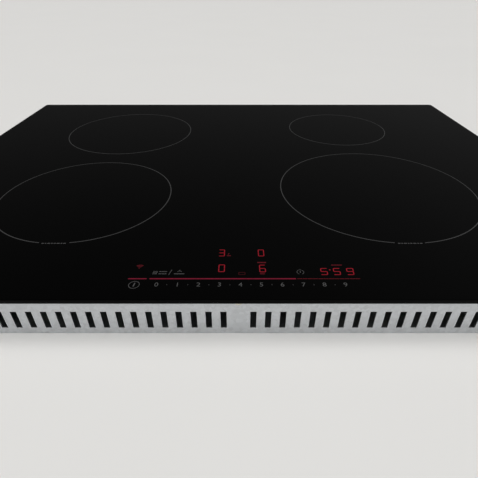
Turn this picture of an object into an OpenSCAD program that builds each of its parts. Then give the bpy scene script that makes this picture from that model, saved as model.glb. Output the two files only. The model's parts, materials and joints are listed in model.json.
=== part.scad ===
// Built-in induction hob: a frameless glass plate over a sheet-metal tray that
// holds four spring-mounted coils, two power boards, two blowers, a touch
// control unit and a terminal box. Millimetres. Origin at the middle of the
// glass, on the worktop's upper face. +Y points to the rear, +Z up.

/* [Glass] */
// Width of the glass plate
glass_w = 710; // [690:5:780]
// Depth of the glass plate
glass_d = 522; // [522:1:530]
// Thickness of the glass plate
glass_t = 4; // [3:0.5:6]
// Corner radius of the glass plate
glass_r = 5; // [2:1:12]

/* [Worktop seal] */
// Thickness of the seal between glass and worktop
seal_t = 1.5; // [1:0.5:2]
// Width of the seal strip
seal_w = 9; // [6:1:9]

/* [Body] */
// Height from the bottom of the tray to the top of the glass
overall_h = 51; // [51:1:56]
// Outer width of the tray
tray_w = 536; // [536:2:544]
// Outer depth of the tray
tray_d = 482; // [482:1:486]
// Thickness of the tray's sheet
sheet_t = 1; // [0.8:0.1:1.2]

/* [Cooking zones] */
// Diameter of the rear left zone
rear_left_d = 180; // [145:5:180]
// Diameter of the front left zone
front_left_d = 180; // [145:5:180]
// Diameter of the rear right zone
rear_right_d = 145; // [130:5:160]
// Diameter of the front right zone
front_right_d = 210; // [180:5:210]
// How far a coil can be pressed down on its springs
coil_travel = 2.5; // [1:0.5:2.5]

/* [Mounting clips] */
// How far a clip stands out from the frame
clip_reach = 12; // [11:0.5:13]
// Width of a clip
clip_w = 26; // [18:1:34]

/* [Cable inlet] */
// Diameter of the hole for the supply cable
inlet_d = 12.4; // [10:0.2:14]

/* [Hidden] */
$fn = 96;
eps = 0.01;

// Levels
glass_under = seal_t;
tray_bottom = glass_under + glass_t - overall_h;
tray_top = -1.5;
floor_top = tray_bottom + sheet_t;

// Seal, set back a little from the edge of the glass
seal_inset = 2;
seal_r = 4;

// Tray and frame, both centred a little in front of the glass centre
body_y = -5;
corner_r = 6;
frame_gap = 0.2;
frame_t = 1;
frame_h = 14;
frame_flange = 6;
frame_w = tray_w + 2 * (frame_gap + frame_t);
frame_d = tray_d + 2 * (frame_gap + frame_t);
rear_y = body_y + tray_d / 2;
front_y = body_y - tray_d / 2;
outlets = 20;
outlet_pitch = 12;
outlet_w = 5;
outlet_h = 18;
inlet_pitch = 7;
inlet_slot_w = 4.4;
pillar_r = 4;
ear_t = 0.8;
leg_w = 24;
leg_ys = [-120, 0, 120];

// Coil stack, from the glass down
insulation_t = 0.45;
insulation_x = 262;
insulation_y = [-182, 228];
coil_gap = 0.05;
winding_t = 3.4;
wire_pitch = 3.2;
former_t = 2;
rim_t = 1.5;
rim_drop = 0.6;
seat_h = 3.6;
cup_r = 8;
cup_depth = 1.2;
spring_h = 6;
spring_r = 5.6;
spring_d = 1;
coil_top = glass_under - insulation_t - coil_gap;
former_top = coil_top - winding_t;
former_under = former_top - former_t;
seat_under = former_under - seat_h;
plate_top = seat_under - spring_h;
plate_t = 1.5;
plate_under = plate_top - plate_t;
ferrite_t = 4.5;
coil_bore_r = 22;
sensor_r = 7;
sensor_seat = 1.4;
sensor_stem_r = 2;
tail_d = 3;
blade_h = 9;
sleeve_h = 10.5;
sleeve_gap = 0.6;
seat_angles = [90, 210, 330];

// Zones: name, x, distance from the front edge, diameter
ZONES = [
    ["rear_left", -163, 370.5, rear_left_d],
    ["front_left", -163, 162, front_left_d],
    ["rear_right", 151.5, 385.5, rear_right_d],
    ["front_right", 151.5, 177, front_right_d]
];
function zone_x(z) = z[1];
function zone_y(z) = z[2] - glass_d / 2;
function coil_r(z) = z[3] / 2 - 8;
function seat_r(z) = 0.62 * coil_r(z);
// The two ends of a coil's wire leave it on the side towards the front
function tails(z) = [[4, -coil_bore_r - 2], [-4, -coil_r(z) + 3]];

// Electronics
board_z = floor_top + 7.5;
board_t = 1.6;
board_top = board_z + board_t;
board_in = 44;
board_out = 260;
board_front = -200;
board_rear = 112;
sink_x = 72;
sink_w = 44;
sink_h = 17;
sink_front = -172;
sink_rear = 104;
sink_base = 4;
fin_t = 1.6;
filter_x = [125, 260];
filter_y = [131, 220];
chip_off = 2.6;
chip_t = 5;
chip_h = 16;

// Blowers
fan_x = 72;
fan_y = 172;
fan_r = 41;
fan_h = 21.5;
fan_wall = 1.6;
fan_mouth_w = 46;
fan_mouth_y = 120;
rotor_r = 33;
rotor_z = 3.6;
rotor_disc = 1.4;
rotor_hub_r = 14;
rotor_hub_h = 12;
hub_wall = 1.6;
blades = 18;
blade_in = 23;
blade_l = 9;
motor_z = 9;
motor_post_r = 5;
bearing_z = 4;
shaft_r = 1.5;
running_gap = 0.05;

// Controls
carrier_x = [-100, 108];
carrier_y = [-240.5, -186];
carrier_under = -5;
touch_top = -1;
touch_t = 1.6;
slider_y = -235.5;
slider_x = [-63, 82];
slider_keys = 10;
key_spots = [[-80, -235], [-80, -221], [-61, -226], [-44, -226], [2.5, -226], [49, -226]];
display_spots = [[-14, -202.5], [-14, -223.5], [19.5, -202.5], [19.5, -223.5]];
timer_spot = [78.5, -226];
display_t = 2.2;
control_spring_r = 4;
control_spring_d = 0.8;
ribbon_x = [57, 75];
ribbon_y = -190;
ribbon_t = 0.8;

// Terminal box in the rear left corner
box_x = [-252, -120];
box_y = [176, rear_y - sheet_t];
box_h = 24.5;
box_wall = 2;
door_x = [-246, -158];
door_z = [-41, -23];
terminal_x = -203;
terminal_pitch = 14;
terminal_ways = 5;
terminal_y = 200;
terminal_z = -29.5;
lead_pitch = 25;
lead_z = -34;
lead_d = 2.6;
inlet_x = -138;
inlet_z = -33;
clamp_h = 7.3;
clamp_y = 216;
clamp_screw_x = 11;
inlet_out = 5;
tube_wall = 2.8;
hinge_x = -253;
hinge_y = rear_y + 2.5;

// Clips and screws along the sides
clip_ys = [-175, 165];
clip_t = 0.8;
clip_fold = -13.2;
clip_drop = 12;
clip_back = 4;
screw_ys = [-95, 85];
screw_xs = [-190, 0, 190];
screw_z = -7;
screw_r = 1.7;
screw_l = 4;
screw_head_r = 3.6;
screw_head_h = 2.2;
clamp_screw_l = 9;

COIL_PIECES = ["former", "winding", "ferrites", "springs", "sensor"];
CLIPS = [
    ["front_left_clip", -1, clip_ys[0]],
    ["rear_left_clip", -1, clip_ys[1]],
    ["front_right_clip", 1, clip_ys[0]],
    ["rear_right_clip", 1, clip_ys[1]]
];
SIDES = [["left", -1], ["right", 1]];

// A rectangle with round corners, centred
module rounded_rect(w, d, r) {
    square([w - 2 * r, d], center = true);
    square([w, d - 2 * r], center = true);
    for (x = [-1, 1], y = [-1, 1])
        translate([x * (w / 2 - r), y * (d / 2 - r)]) circle(r);
}

// A box between two opposite corners
module span(a, b) {
    translate(a) cube(b - a);
}

// A thin square-cornered ring between two rounded rectangles
module frame_ring(w, d, r, band) {
    difference() {
        rounded_rect(w, d, r);
        rounded_rect(w - 2 * band, d - 2 * band, max(r - band, 1));
    }
}

// A wire swept along points, as one closed tube
function unit(v) = v / norm(v);
function heading(p, i) = unit(p[min(i + 1, len(p) - 1)] - p[max(i - 1, 0)]);
function side_of(t) = unit(cross(abs(t[2]) > 0.9 ? [0, 1, 0] : [0, 0, 1], t));
module wire(points, d, sides = 8) {
    n = len(points);
    rings = [for (i = [0 : n - 1])
        let (t = heading(points, i), u = side_of(t), v = cross(t, u))
        for (k = [0 : sides - 1])
            points[i] + d / 2 * (cos(360 * k / sides) * u + sin(360 * k / sides) * v)];
    skin = [for (i = [0 : n - 2], k = [0 : sides - 1])
        let (a = i * sides + k, b = i * sides + (k + 1) % sides)
        each [[a, a + sides, b + sides], [a, b + sides, b]]];
    first = [[for (k = [0 : sides - 1]) k]];
    last = [[for (k = [sides - 1 : -1 : 0]) (n - 1) * sides + k]];
    polyhedron(rings, concat(skin, first, last), convexity = 6);
}

// A compression spring standing on z = 0
module coil_spring(r, height, turns, d) {
    steps = ceil(turns * 9);
    rise = height - d;
    wire([for (i = [0 : steps])
        [r * cos(360 * turns * i / steps), r * sin(360 * turns * i / steps),
         d / 2 + rise * i / steps]], d, 5);
}

// ---- Glass, seal and frame ----

module glass_plate() {
    color([0.02, 0.02, 0.02])
        translate([0, 0, glass_under])
            linear_extrude(glass_t) rounded_rect(glass_w, glass_d, glass_r);
}

module edge_seal() {
    color([0.16, 0.13, 0.12])
        linear_extrude(seal_t)
            frame_ring(glass_w - 2 * seal_inset, glass_d - 2 * seal_inset, seal_r, seal_w);
}

// Angle-section frame bonded to the glass, with its skirt outside the tray
module glass_frame() {
    color("silver")
        difference() {
            translate([0, body_y, 0]) {
                translate([0, 0, glass_under - frame_h])
                    linear_extrude(frame_h) frame_ring(frame_w, frame_d, corner_r + 1, frame_t);
                translate([0, 0, glass_under - frame_t])
                    linear_extrude(frame_t)
                        frame_ring(frame_w, frame_d, corner_r + 1, frame_flange);
            }
            case_screw_holes();
        }
}

// Where the case screws pass: sides, then front and rear
module at_case_screws() {
    for (s = [-1, 1], y = screw_ys)
        translate([s * frame_w / 2, y, screw_z]) rotate([0, s * 90, 0]) children();
    for (s = [-1, 1], x = screw_xs)
        translate([x, body_y + s * frame_d / 2, screw_z]) rotate([-s * 90, 0, 0]) children();
}

module at_clip_screws() {
    for (c = CLIPS)
        translate([c[1] * (frame_w / 2 + clip_t), c[2], screw_z])
            rotate([0, c[1] * 90, 0]) children();
}

module case_screw_holes() {
    hole_r = screw_r + 0.2;
    at_case_screws() translate([0, 0, -4]) cylinder(h = 6, r = hole_r);
    at_clip_screws() translate([0, 0, -4]) cylinder(h = 6, r = hole_r);
}

// A pan-head screw with a cross recess, its head on z = 0
module pan_screw(length) {
    translate([0, 0, -length]) cylinder(h = length + eps, r = screw_r);
    difference() {
        cylinder(h = screw_head_h, r = screw_head_r);
        for (a = [0, 90])
            rotate(a) translate([0, 0, 2]) cube([4.2, 0.9, 2], center = true);
    }
}

module case_screws() {
    color([0.75, 0.74, 0.7]) {
        at_case_screws() pan_screw(screw_l);
        at_clip_screws() pan_screw(screw_l);
        for (s = [-1, 1])
            translate([inlet_x + s * clamp_screw_x, clamp_y, inlet_z + clamp_h])
                pan_screw(clamp_screw_l);
    }
}

module insulation_sheet() {
    color([0.82, 0.78, 0.66])
        difference() {
            span([-insulation_x, insulation_y[0], coil_top + coil_gap],
                [insulation_x, insulation_y[1], glass_under]);
            for (z = ZONES)
                translate([zone_x(z), zone_y(z), coil_top - 1]) cylinder(h = 3, r = sensor_r + 2);
        }
}

// ---- Coils ----

module at_zone(z) {
    translate([zone_x(z), zone_y(z), 0]) children();
}

module at_seats(z) {
    for (a = seat_angles)
        rotate(a) translate([seat_r(z), 0, 0]) children();
}

// Plastic disc with a rim, a hub for the sensor and three spring cups
module former(z) {
    rim_r = coil_r(z) + 3;
    rim_h = former_t + winding_t - rim_drop;
    hub_r = coil_bore_r - 2.5;
    color([0.9, 0.88, 0.8])
        at_zone(z)
            difference() {
                union() {
                    translate([0, 0, former_under]) cylinder(h = former_t, r = rim_r);
                    translate([0, 0, former_under]) cylinder(h = rim_h, r = hub_r);
                    translate([0, 0, former_under])
                        rotate_extrude() translate([rim_r - rim_t, 0]) square([rim_t, rim_h]);
                    at_seats(z) translate([0, 0, seat_under])
                        cylinder(h = seat_h + eps, r = cup_r);
                }
                translate([0, 0, former_under + sensor_seat])
                    cylinder(h = 20, r = sensor_r + 0.2);
                translate([0, 0, former_under - 1]) cylinder(h = 4, r = sensor_stem_r + 0.5);
                at_seats(z) translate([0, 0, seat_under - eps])
                    cylinder(h = cup_depth, r = cup_r - 1.2);
                for (t = tails(z))
                    translate([t[0], t[1], former_under - 1]) cylinder(h = 4, d = tail_d + 1);
            }
}

// Flat spiral of stranded wire, with its two ends led down to blade sleeves
module winding(z) {
    turns = floor((coil_r(z) - coil_bore_r) / wire_pitch);
    sleeve_z = board_top + coil_travel + sleeve_gap;
    color([0.72, 0.42, 0.22])
        at_zone(z) {
            rotate_extrude()
                for (i = [0 : turns - 1])
                    translate([coil_bore_r + (i + 0.5) * wire_pitch, former_top + winding_t / 2])
                        rotate(22.5) circle(d = winding_t / cos(22.5), $fn = 8);
            for (t = tails(z))
                translate([t[0], t[1], 0]) {
                    translate([0, 0, sleeve_z + sleeve_h - 0.5])
                        cylinder(h = former_top + 1.5 - sleeve_z - sleeve_h, d = tail_d, $fn = 24);
                    difference() {
                        translate([-4, -1.6, sleeve_z]) cube([8, 3.2, sleeve_h]);
                        translate([-3.4, -0.6, sleeve_z - 1]) cube([6.8, 1.2, sleeve_h]);
                    }
                }
        }
}

// Bars under the former that close the magnetic field
module ferrites(z) {
    color([0.2, 0.2, 0.22])
        at_zone(z)
            for (a = [0 : 60 : 300])
                rotate(a)
                    translate([coil_bore_r + 2, -6, former_under - ferrite_t])
                        cube([coil_r(z) - coil_bore_r - 5, 12, ferrite_t]);
}

module springs(z) {
    color("lightgray")
        at_zone(z)
            at_seats(z)
                translate([0, 0, plate_top])
                    coil_spring(spring_r, spring_h + cup_depth - eps, 2.5, spring_d);
}

// Temperature sensor in a soft cup that touches the glass
module sensor(z) {
    color([0.7, 0.15, 0.1])
        at_zone(z) {
            translate([0, 0, former_under + sensor_seat])
                cylinder(h = glass_under - former_under - sensor_seat, r = sensor_r);
            translate([0, 0, former_under - 3]) cylinder(h = 4.5, r = sensor_stem_r);
        }
}

// Aluminium plate that carries the coils, standing on six bent legs
module coil_plate() {
    plate_x = tray_w / 2 - sheet_t - 3;
    plate_y = [front_y + 3, rear_y - 6];
    color([0.8, 0.81, 0.82])
        difference() {
            union() {
                span([-plate_x, plate_y[0], plate_under], [plate_x, plate_y[1], plate_top]);
                for (s = [-1, 1], y = leg_ys)
                    translate([s * (plate_x - plate_t / 2), y, (floor_top + plate_top) / 2])
                        cube([plate_t, leg_w, plate_top - floor_top], center = true);
            }
            for (z = ZONES)
                at_zone(z) {
                    translate([0, 0, plate_under - 1]) cylinder(h = 4, r = 14);
                    for (t = tails(z))
                        translate([t[0], t[1], plate_under - 1]) cylinder(h = 4, r = 6);
                }
            span([ribbon_x[0] - 5, ribbon_y - 4, plate_under - 1],
                [ribbon_x[1] + 5, ribbon_y + 4, plate_top + 1]);
        }
}

// ---- Tray ----

// Pressed sheet tray with air inlets below, outlets in front, and the
// openings of the terminal box at the rear
module lower_tray() {
    tray_h = tray_top - tray_bottom;
    color([0.7, 0.71, 0.72])
        difference() {
            union() {
                difference() {
                    translate([0, body_y, tray_bottom])
                        linear_extrude(tray_h) rounded_rect(tray_w, tray_d, corner_r);
                    translate([0, body_y, floor_top])
                        linear_extrude(tray_h)
                            rounded_rect(tray_w - 2 * sheet_t, tray_d - 2 * sheet_t,
                                corner_r - sheet_t);
                }
                board_pillars();
                cover_ears();
            }
            air_outlets();
            air_inlets();
            case_screw_holes();
            span([door_x[0], rear_y - 3, door_z[0]], [door_x[1], rear_y + 0.2, door_z[1]]);
            translate([inlet_x, rear_y - 3, inlet_z])
                rotate([-90, 0, 0]) cylinder(h = 6, d = inlet_d + 2 * tube_wall + 0.6);
            translate([hinge_x, hinge_y, tray_bottom + 1])
                cylinder(h = 30, r = shaft_r + running_gap);
        }
}

module board_pillars() {
    for (s = [-1, 1], x = [board_in + 6, board_out - 6], y = [board_front + 6, board_rear - 6])
        translate([s * x, y, 0]) board_pillar();
    for (x = [filter_x[0] + 7, filter_x[1] - 6], y = [filter_y[0] + 7, filter_y[1] - 6])
        translate([x, y, 0]) board_pillar();
}

module board_pillar() {
    translate([0, 0, floor_top - eps]) cylinder(h = board_z - floor_top + eps, r = pillar_r);
}

module cover_ears() {
    reach = 3.5;
    for (z = [door_z[0] - 2.4 - ear_t, door_z[1] + 2.2])
        span([hinge_x - reach, rear_y - eps, z], [hinge_x + reach, hinge_y + reach, z + ear_t]);
}

module air_outlets() {
    for (s = [-1, 1], i = [1 : outlets])
        translate([s * i * outlet_pitch, front_y, (floor_top + plate_under) / 2])
            cube([outlet_w, 6, outlet_h], center = true);
}

module air_inlets() {
    for (s = [-1, 1], i = [-4 : 4]) {
        x = i * inlet_pitch;
        half = sqrt(pow(rotor_r - 1, 2) - x * x);
        translate([s * fan_x + x, fan_y, tray_bottom])
            cube([inlet_slot_w, 2 * half, 6], center = true);
    }
}

// Blank plate riveted to the rear wall
module rating_plate() {
    color([0.86, 0.86, 0.84])
        translate([110, rear_y + 0.15, -30]) cube([84, 0.3, 18], center = true);
}

// ---- Mounting clips ----

// The part of each spring clip that is screwed to the frame
module clip_seats() {
    color([0.55, 0.57, 0.6])
        difference() {
            for (c = CLIPS)
                translate([c[1] * (frame_w / 2 + clip_t / 2), c[2], (clip_fold - 1) / 2])
                    cube([clip_t, clip_w, -clip_fold - 1.2], center = true);
            case_screw_holes();
        }
}

// The springing part of a clip: out to the barb, then back to the tray
module clip(side, y) {
    color([0.55, 0.57, 0.6])
        translate([side * frame_w / 2, y + clip_w / 2, clip_fold])
            mirror([side < 0 ? 1 : 0, 0, 0])
                rotate([90, 0, 0])
                    linear_extrude(clip_w)
                        polygon([
                            [0, 0], [clip_t, 0],
                            [clip_reach + clip_t, -clip_drop],
                            [clip_back + clip_t, -2 * clip_drop],
                            [clip_back, -2 * clip_drop], [clip_reach, -clip_drop]
                        ]);
}

// ---- Power electronics ----

module power_board(side) {
    wide = board_out - board_in;
    color([0.1, 0.35, 0.18]) {
        translate([side * (board_in + board_out) / 2, (board_front + board_rear) / 2,
                board_z + board_t / 2])
            cube([wide, board_rear - board_front, board_t], center = true);
        for (z = ZONES)
            if (sign(zone_x(z)) == side)
                at_zone(z)
                    for (t = tails(z))
                        translate([t[0] - 3.1, t[1] - 0.4, board_top - eps])
                            cube([6.2, 0.8, blade_h]);
    }
}

module filter_board() {
    color([0.1, 0.35, 0.18])
        span([filter_x[0], filter_y[0], board_z], [filter_x[1], filter_y[1], board_top]);
}

// Finned extrusion with its fins along the air stream
module heat_sink(side) {
    fins = 9;
    color([0.78, 0.79, 0.8])
        translate([side * sink_x - sink_w / 2, sink_front, board_top]) {
            cube([sink_w, sink_rear - sink_front, sink_base]);
            for (i = [0 : fins - 1])
                translate([i * (sink_w - fin_t) / (fins - 1), 0, sink_base - eps])
                    cube([fin_t, sink_rear - sink_front, sink_h - sink_base]);
        }
}

// A chip of the given width that stands against the side of a heat sink
module sink_chip(side, y, width) {
    translate([side * (sink_x + sink_w / 2 + chip_off), y, board_top + chip_h / 2])
        cube([chip_t, width, chip_h], center = true);
}

module power_transistors() {
    color([0.12, 0.12, 0.13])
        for (s = [-1, 1], y = [-140, -110, 0, 30])
            sink_chip(s, y, 16);
}

module bridge_rectifiers() {
    color([0.16, 0.16, 0.17])
        for (s = [-1, 1])
            sink_chip(s, 72, 28);
}

module capacitors() {
    color([0.75, 0.72, 0.62])
        for (s = [-1, 1], x = [128, 215], y = [-165, -30])
            translate([s * x, y, board_top + 8]) cube([30, 20, 16], center = true);
}

module relays() {
    color([0.85, 0.85, 0.86])
        for (x = [150, 186])
            translate([x, 204, board_top + 7.5]) cube([29, 13, 15], center = true);
}

module filter_chokes() {
    color([0.6, 0.35, 0.15])
        for (x = [166, 222])
            translate([x, 166, board_top + 8])
                rotate_extrude() translate([13, 0]) circle(r = 6, $fn = 32);
}

// ---- Blowers ----

module at_fan(side) {
    translate([side * fan_x, fan_y, floor_top]) children();
}

// Flat blower casing: air in from below, out towards the heat sink
module fan_housing(side) {
    color([0.13, 0.13, 0.14])
        at_fan(side)
            difference() {
                union() {
                    cylinder(h = fan_h, r = fan_r);
                    span([-fan_mouth_w / 2, fan_mouth_y - fan_y, 0], [fan_mouth_w / 2, 0, fan_h]);
                }
                difference() {
                    translate([0, 0, fan_wall]) {
                        cylinder(h = fan_h - 2 * fan_wall, r = fan_r - fan_wall);
                        span([-fan_mouth_w / 2 + fan_wall, fan_mouth_y - fan_y - 1, 0],
                            [fan_mouth_w / 2 - fan_wall, 0, fan_h - 2 * fan_wall]);
                    }
                    translate([0, 0, motor_z]) cylinder(h = fan_h, r = motor_post_r);
                }
                translate([0, 0, -1]) cylinder(h = fan_wall + 2, r = rotor_r - 6);
                translate([0, 0, bearing_z])
                    cylinder(h = fan_h - fan_wall - bearing_z, r = shaft_r + running_gap);
            }
}

// Impeller with curved-in-line blades on a cup-shaped hub and its shaft
module fan_rotor(side) {
    color([0.2, 0.2, 0.21])
        at_fan(side) {
            translate([0, 0, rotor_z]) cylinder(h = rotor_disc, r = rotor_r);
            difference() {
                translate([0, 0, rotor_z]) cylinder(h = rotor_hub_h, r = rotor_hub_r);
                translate([0, 0, rotor_z + 2])
                    cylinder(h = rotor_hub_h, r = rotor_hub_r - hub_wall);
            }
            translate([0, 0, bearing_z])
                cylinder(h = fan_h - fan_wall - bearing_z - 0.6, r = shaft_r);
            for (i = [0 : blades - 1])
                rotate(i * 360 / blades)
                    translate([blade_in, -0.5, rotor_z + 1])
                        rotate(-25) cube([blade_l, 1, rotor_hub_h - 1]);
        }
}

// ---- Touch control unit ----

module control_carrier() {
    floor_t = 1.2;
    wall = 1.6;
    color([0.12, 0.12, 0.13]) {
        difference() {
            span([carrier_x[0], carrier_y[0], carrier_under],
                [carrier_x[1], carrier_y[1], touch_top + 0.6]);
            span([carrier_x[0] + wall, carrier_y[0] + wall, carrier_under + floor_t],
                [carrier_x[1] - wall, carrier_y[1] - wall, touch_top + 2]);
            span([ribbon_x[0] - 2, ribbon_y - 2, carrier_under - 1],
                [ribbon_x[1] + 2, ribbon_y + 2, carrier_under + 3]);
        }
        for (x = [-80, -20, 40, 95], y = [-232, -197])
            translate([x, y, carrier_under + floor_t - eps])
                cylinder(h = touch_top - touch_t - carrier_under - floor_t + eps, r = 2.5);
    }
}

module touch_board() {
    gap = 2;
    color([0.12, 0.3, 0.45])
        span([carrier_x[0] + gap, carrier_y[0] + gap, touch_top - touch_t],
            [carrier_x[1] - gap, carrier_y[1] - gap, touch_top]);
}

// Sprung pads that carry the touch of a finger through the glass
module touch_pads() {
    pad_h = glass_under - touch_top;
    step = (slider_x[1] - slider_x[0]) / (slider_keys - 1);
    color([0.1, 0.1, 0.1]) {
        for (i = [0 : slider_keys - 1])
            translate([slider_x[0] + i * step - 6, slider_y - 3, touch_top])
                cube([12, 6, pad_h]);
        for (p = key_spots)
            translate([p[0], p[1], touch_top]) cylinder(h = pad_h, r = 2.6);
    }
}

module number_displays() {
    color([0.35, 0.03, 0.03]) {
        for (p = display_spots)
            translate([p[0], p[1], touch_top + display_t / 2])
                cube([9, 13, display_t], center = true);
        translate([timer_spot[0], timer_spot[1], touch_top + display_t / 2])
            cube([32, 12, display_t], center = true);
    }
}

module control_springs() {
    color("lightgray")
        for (x = [-88, 96], y = [-234, -196])
            translate([x, y, plate_top])
                coil_spring(control_spring_r, carrier_under - plate_top, 3.5, control_spring_d);
}

// Flat cable from the touch board to the right power board
module ribbon_cable() {
    color([0.75, 0.75, 0.78]) {
        span([ribbon_x[0], ribbon_y - ribbon_t / 2, board_top],
            [ribbon_x[1], ribbon_y + ribbon_t / 2, touch_top - touch_t]);
        span([ribbon_x[0] - 1, ribbon_y - 3, board_top],
            [ribbon_x[1] + 1, ribbon_y + 3, board_top + 6]);
    }
}

// ---- Supply connection ----

module inlet_axis() {
    translate([inlet_x, rear_y - sheet_t - box_wall, inlet_z]) rotate([-90, 0, 0]) children();
}

// Moulded box, open at the rear, with the tube that the supply cable enters
module terminal_box() {
    tube_back = 4;
    tube_l = tube_back + box_wall + sheet_t + inlet_out;
    color([0.85, 0.85, 0.83])
        difference() {
            union() {
                difference() {
                    span([box_x[0], box_y[0], floor_top],
                        [box_x[1], box_y[1], floor_top + box_h]);
                    span([box_x[0] + box_wall, box_y[0] + box_wall, floor_top + box_wall],
                        [box_x[1] - box_wall, box_y[1] - box_wall,
                            floor_top + box_h - box_wall]);
                    span([door_x[0], box_y[1] - 3, door_z[0]], [door_x[1], box_y[1] + 1, door_z[1]]);
                }
                inlet_axis() translate([0, 0, -tube_back])
                    cylinder(h = tube_l, d = inlet_d + 2 * tube_wall);
                for (s = [-1, 1])
                    translate([inlet_x + s * clamp_screw_x, clamp_y, floor_top + 1])
                        cylinder(h = inlet_z - floor_top, r = 3);
            }
            inlet_axis() translate([0, 0, -tube_back - 1])
                cylinder(h = tube_l + 2, d = inlet_d);
            for (i = [-1 : 1])
                translate([terminal_x + i * lead_pitch, box_y[0] - 1, lead_z])
                    rotate([-90, 0, 0]) cylinder(h = 4, r = 2);
            for (s = [-1, 1])
                translate([inlet_x + s * clamp_screw_x, clamp_y, inlet_z - 2])
                    cylinder(h = 6, r = screw_r + 0.05);
        }
}

module at_terminals() {
    for (i = [0 : terminal_ways - 1])
        translate([terminal_x + (i - (terminal_ways - 1) / 2) * terminal_pitch, terminal_y, 0])
            children();
}

// Block with a wire entry below and a screw well above at each terminal
module terminal_block() {
    half_w = terminal_ways * terminal_pitch / 2;
    entry_z = -38;
    color([0.2, 0.2, 0.22])
        difference() {
            span([terminal_x - half_w, terminal_y - 12, floor_top + box_wall],
                [terminal_x + half_w, terminal_y + 8, terminal_z + 5]);
            at_terminals() {
                translate([0, -4, entry_z]) rotate([-90, 0, 0]) cylinder(h = 20, r = 2.6);
                translate([0, 0, terminal_z]) rotate([-90, 0, 0]) cylinder(h = 20, r = 3.2);
            }
        }
}

module terminal_screws() {
    head_h = 5;
    color([0.72, 0.7, 0.62])
        at_terminals()
            translate([0, 0, terminal_z])
                rotate([-90, 0, 0])
                    difference() {
                        cylinder(h = head_h, r = 3);
                        translate([0, 0, head_h]) cube([7, 1, 2], center = true);
                    }
}

// Door over the terminals, turning on a pin held by the tray's two ears
module terminal_cover() {
    lap = 2;
    inner_y = rear_y + 0.3;
    outer_y = rear_y + 1.9;
    rib_x = (door_x[0] + door_x[1]) / 2 - 1;
    low = door_z[0] - lap;
    high = door_z[1] + lap;
    pin_out = 1.4;
    color([0.85, 0.85, 0.83]) {
        span([hinge_x, inner_y, low], [door_x[1] + 4, outer_y, high]);
        translate([hinge_x, hinge_y, low - pin_out])
            cylinder(h = high - low + 2 * pin_out, r = shaft_r);
        span([rib_x - 2, outer_y - eps, low + 4], [rib_x + 2, rear_y + 3, high - 4]);
    }
}

module cable_clamp() {
    color([0.3, 0.3, 0.32])
        difference() {
            span([inlet_x - 15, clamp_y - 5, inlet_z + 1],
                [inlet_x + 15, clamp_y + 5, inlet_z + clamp_h]);
            translate([inlet_x, clamp_y, inlet_z])
                rotate([90, 0, 0]) cylinder(h = 30, d = inlet_d, center = true);
            for (s = [-1, 1])
                translate([inlet_x + s * clamp_screw_x, clamp_y, inlet_z])
                    cylinder(h = 12, r = screw_r + 0.2);
        }
}

// Three leads from the terminals over the blower mouths to the filter board
module supply_leads() {
    start_y = terminal_y - 12;
    over_z = -19;
    for (i = [0 : 2]) {
        x = terminal_x + (i - 1) * lead_pitch;
        y = 124 + i * 4;
        end_x = 146 - i * 5;
        end_y = y + 10;
        color([[0.45, 0.25, 0.1], [0.1, 0.25, 0.7], [0.4, 0.6, 0.15]][i])
            wire([
                [x, start_y, lead_z], [x, start_y - 18, lead_z],
                [x, start_y - 28, lead_z + 2], [x, y + 16, over_z - 3],
                [x + 4, y + 4, over_z - 0.5], [x + 12, y, over_z], [0, y, over_z],
                [end_x - 8, y, over_z], [end_x - 2, y + 2, over_z - 1],
                [end_x, y + 8, over_z - 5], [end_x, end_y, board_top + 6],
                [end_x, end_y, board_top + 2], [end_x, end_y, board_top]
            ], lead_d);
    }
}

// ---- Assembly ----

glass_plate();
edge_seal();
glass_frame();
insulation_sheet();
coil_plate();
lower_tray();
for (z = ZONES) {
    former(z);
    winding(z);
    ferrites(z);
    springs(z);
    sensor(z);
}
for (c = CLIPS)
    clip(c[1], c[2]);
clip_seats();
case_screws();
for (s = SIDES) {
    power_board(s[1]);
    heat_sink(s[1]);
    fan_housing(s[1]);
    fan_rotor(s[1]);
}
filter_board();
power_transistors();
bridge_rectifiers();
capacitors();
relays();
filter_chokes();
control_carrier();
touch_board();
touch_pads();
number_displays();
control_springs();
ribbon_cable();
terminal_box();
terminal_block();
terminal_screws();
terminal_cover();
cable_clamp();
supply_leads();
rating_plate();
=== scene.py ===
import json
import math

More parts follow.
